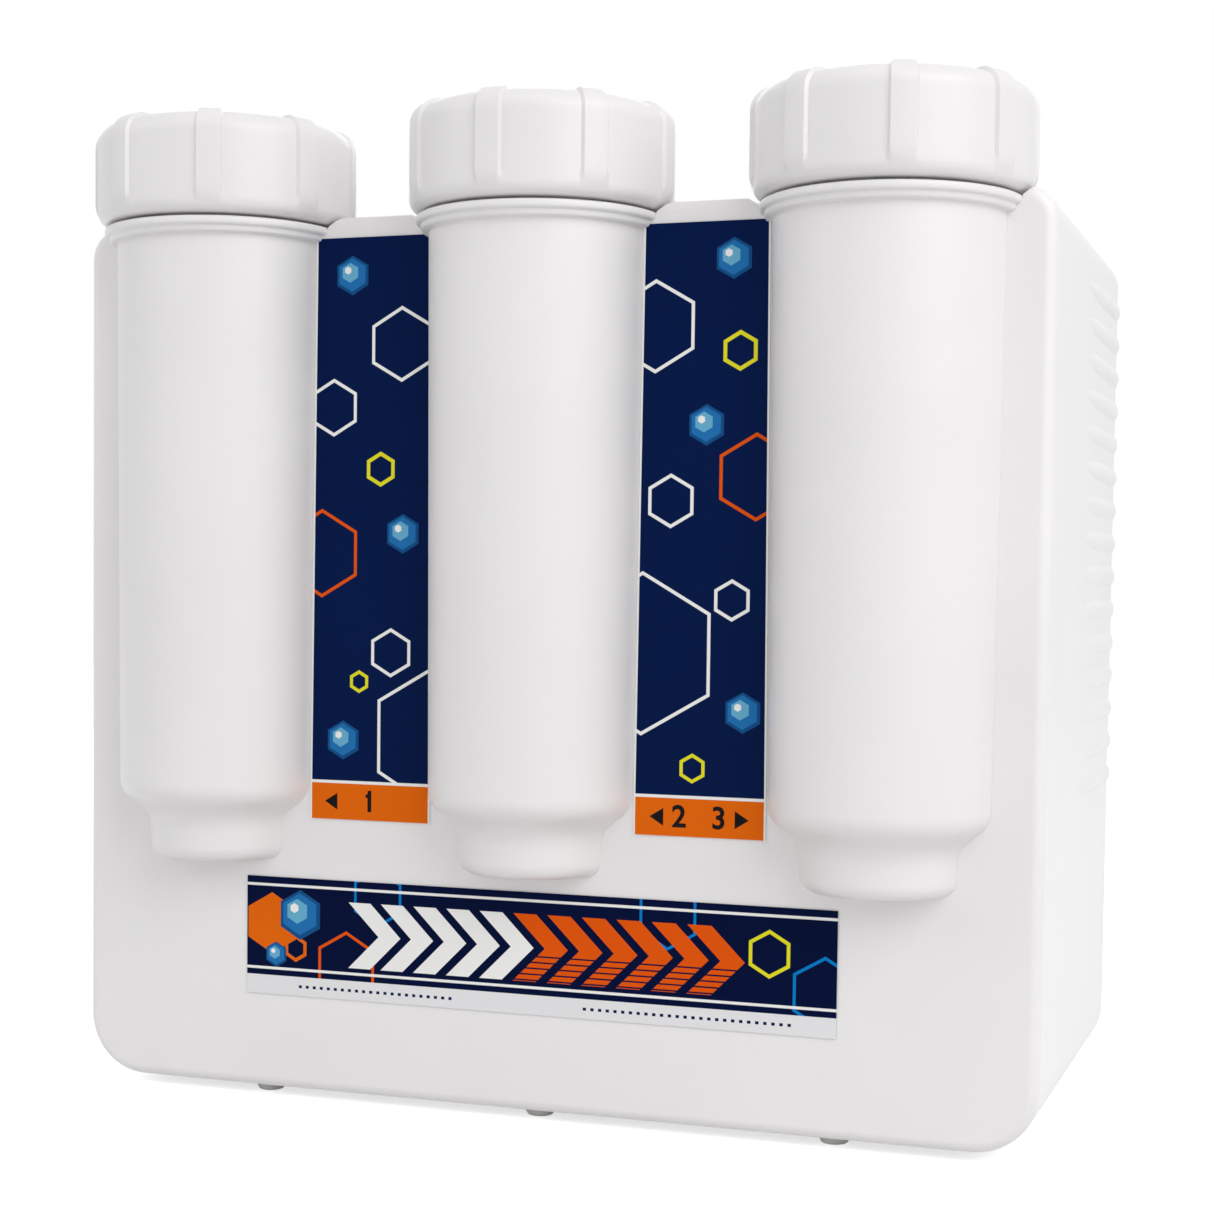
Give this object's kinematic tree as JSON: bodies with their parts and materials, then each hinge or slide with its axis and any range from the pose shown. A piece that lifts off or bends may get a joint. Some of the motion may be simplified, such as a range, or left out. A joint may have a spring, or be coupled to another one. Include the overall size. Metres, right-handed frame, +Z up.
{
  "type": "reverse osmosis system",
  "caption": "Closed-case drinking water filter with screw-capped filter tubs at the front, and a membrane housing, post filter, storage tank and tubing inside.",
  "frame": {"origin": "on the floor, in the middle of the width and of the depth", "axes": "+X to the viewer's right, +Y to the back, +Z up"},
  "size_m": [0.407, 0.255, 0.4004],
  "materials": {
    "case_plastic": "fine satin",
    "tub_plastic": "satin",
    "cap_plastic": "satin",
    "label_print": "printed film",
    "foot_rubber": "matt",
    "seal_rubber": "matt",
    "spun_fibre": "spun fibre",
    "carbon_block": "granular",
    "bracket_plastic": "satin",
    "screw_steel": "plated",
    "tank_plastic": "gloss",
    "vessel_plastic": "semi-gloss",
    "lever_plastic": "gloss",
    "membrane_wrap": "wrapped film",
    "fitting_plastic": "satin",
    "collet_plastic": "gloss",
    "tubing": "smooth"
  },
  "bodies": {
    "case": {"case_shell": "case_plastic", "rear_cover": "case_plastic", "filter_tub_left": "tub_plastic", "filter_tub_middle": "tub_plastic", "filter_tub_right": "tub_plastic", "label_left": "label_print", "label_right": "label_print", "label_banner": "label_print", "foot_front_left": "foot_rubber", "foot_front_middle": "foot_rubber", "foot_front_right": "foot_rubber", "foot_rear_left": "foot_rubber", "foot_rear_middle": "foot_rubber", "foot_rear_right": "foot_rubber", "filter_bracket": "bracket_plastic", "cover_screw_1": "screw_steel", "cover_screw_2": "screw_steel", "cover_screw_3": "screw_steel", "cover_screw_4": "screw_steel", "bracket_screw_1": "screw_steel", "bracket_screw_2": "screw_steel", "storage_tank": "tank_plastic", "tank_cradle": "vessel_plastic", "tank_valve": "vessel_plastic", "membrane_housing": "vessel_plastic", "post_filter": "vessel_plastic", "shutoff_valve": "vessel_plastic", "membrane_element": "membrane_wrap", "product_tee": "fitting_plastic", "check_valve": "fitting_plastic", "flow_restrictor": "fitting_plastic", "feed_port": "fitting_plastic", "drain_port": "fitting_plastic", "tap_port": "fitting_plastic", "feed_tube": "tubing", "tub_link_tube_left": "tubing", "tub_link_tube_right": "tubing", "riser_tube": "tubing", "membrane_feed_tube": "tubing", "permeate_tube": "tubing", "product_tube": "tubing", "tank_tube": "tubing", "drain_tube": "tubing", "tap_tube": "tubing"},
    "cartridge_left": {"sediment_cartridge": "spun_fibre"},
    "seal_left": {"cap_seal_left": "seal_rubber"},
    "cap_left": {"tub_cap_left": "cap_plastic"},
    "cartridge_middle": {"carbon_cartridge": "carbon_block"},
    "seal_middle": {"cap_seal_middle": "seal_rubber"},
    "cap_middle": {"tub_cap_middle": "cap_plastic"},
    "cartridge_right": {"polishing_cartridge": "spun_fibre"},
    "seal_right": {"cap_seal_right": "seal_rubber"},
    "cap_right": {"tub_cap_right": "cap_plastic"},
    "tank_lever": {"tank_valve_lever": "lever_plastic"},
    "membrane_seal": {"membrane_cap_seal": "seal_rubber"},
    "membrane_cap": {"membrane_cap": "vessel_plastic"},
    "feed_collet": {"feed_collet": "collet_plastic"},
    "drain_collet": {"drain_collet": "collet_plastic"},
    "tap_collet": {"tap_collet": "collet_plastic"}
  },
  "joints": [
    {"name": "cartridge_left_lift", "type": "slide", "parent": "case", "child": "cartridge_left", "axis": [0, 0, 1], "range_m": [0, 0.27]},
    {"name": "cap_left_rise", "type": "slide", "parent": "cartridge_left", "child": "seal_left", "axis": [0, 0, 1], "range_m": [0, 0.0181]},
    {"name": "cap_left_turn", "type": "hinge", "parent": "seal_left", "child": "cap_left", "pos_m": [-0.14, -0.07367, 0.37], "axis": [0, 0, 1], "range_deg": [0, 1080]},
    {"name": "cartridge_middle_lift", "type": "slide", "parent": "case", "child": "cartridge_middle", "axis": [0, 0, 1], "range_m": [0, 0.27]},
    {"name": "cap_middle_rise", "type": "slide", "parent": "cartridge_middle", "child": "seal_middle", "axis": [0, 0, 1], "range_m": [0, 0.0181]},
    {"name": "cap_middle_turn", "type": "hinge", "parent": "seal_middle", "child": "cap_middle", "pos_m": [0, -0.07367, 0.37], "axis": [0, 0, 1], "range_deg": [0, 1080]},
    {"name": "cartridge_right_lift", "type": "slide", "parent": "case", "child": "cartridge_right", "axis": [0, 0, 1], "range_m": [0, 0.27]},
    {"name": "cap_right_rise", "type": "slide", "parent": "cartridge_right", "child": "seal_right", "axis": [0, 0, 1], "range_m": [0, 0.0181]},
    {"name": "cap_right_turn", "type": "hinge", "parent": "seal_right", "child": "cap_right", "pos_m": [0.14, -0.07367, 0.37], "axis": [0, 0, 1], "range_deg": [0, 1080]},
    {"name": "tank_lever_turn", "type": "hinge", "parent": "case", "child": "tank_lever", "pos_m": [0.153, 0.03383, 0.072], "axis": [0, -1, 0], "range_deg": [0, 90]},
    {"name": "membrane_cap_shift", "type": "slide", "parent": "case", "child": "membrane_seal", "axis": [-1, 0, 0], "range_m": [0, 0.0081]},
    {"name": "membrane_cap_turn", "type": "hinge", "parent": "membrane_seal", "child": "membrane_cap", "pos_m": [-0.128, 0.00813, 0.179], "axis": [-1, 0, 0], "range_deg": [0, 720]},
    {"name": "feed_collet_push", "type": "slide", "parent": "case", "child": "feed_collet", "axis": [0, -1, 0], "range_m": [0, 0.0015], "stiffness_N_per_m": 200, "springref_m": -0.0005},
    {"name": "drain_collet_push", "type": "slide", "parent": "case", "child": "drain_collet", "axis": [0, -1, 0], "range_m": [0, 0.0015], "stiffness_N_per_m": 200, "springref_m": -0.0005},
    {"name": "tap_collet_push", "type": "slide", "parent": "case", "child": "tap_collet", "axis": [0, -1, 0], "range_m": [0, 0.0015], "stiffness_N_per_m": 200, "springref_m": -0.0005}
  ],
  "couplings": [
    {"joint": "cap_left_rise", "follows": "cap_left_turn", "m_per_rad": 0.00095493},
    {"joint": "cap_middle_rise", "follows": "cap_middle_turn", "m_per_rad": 0.00095493},
    {"joint": "cap_right_rise", "follows": "cap_right_turn", "m_per_rad": 0.00095493},
    {"joint": "membrane_cap_shift", "follows": "membrane_cap_turn", "m_per_rad": 0.00063662}
  ]
}
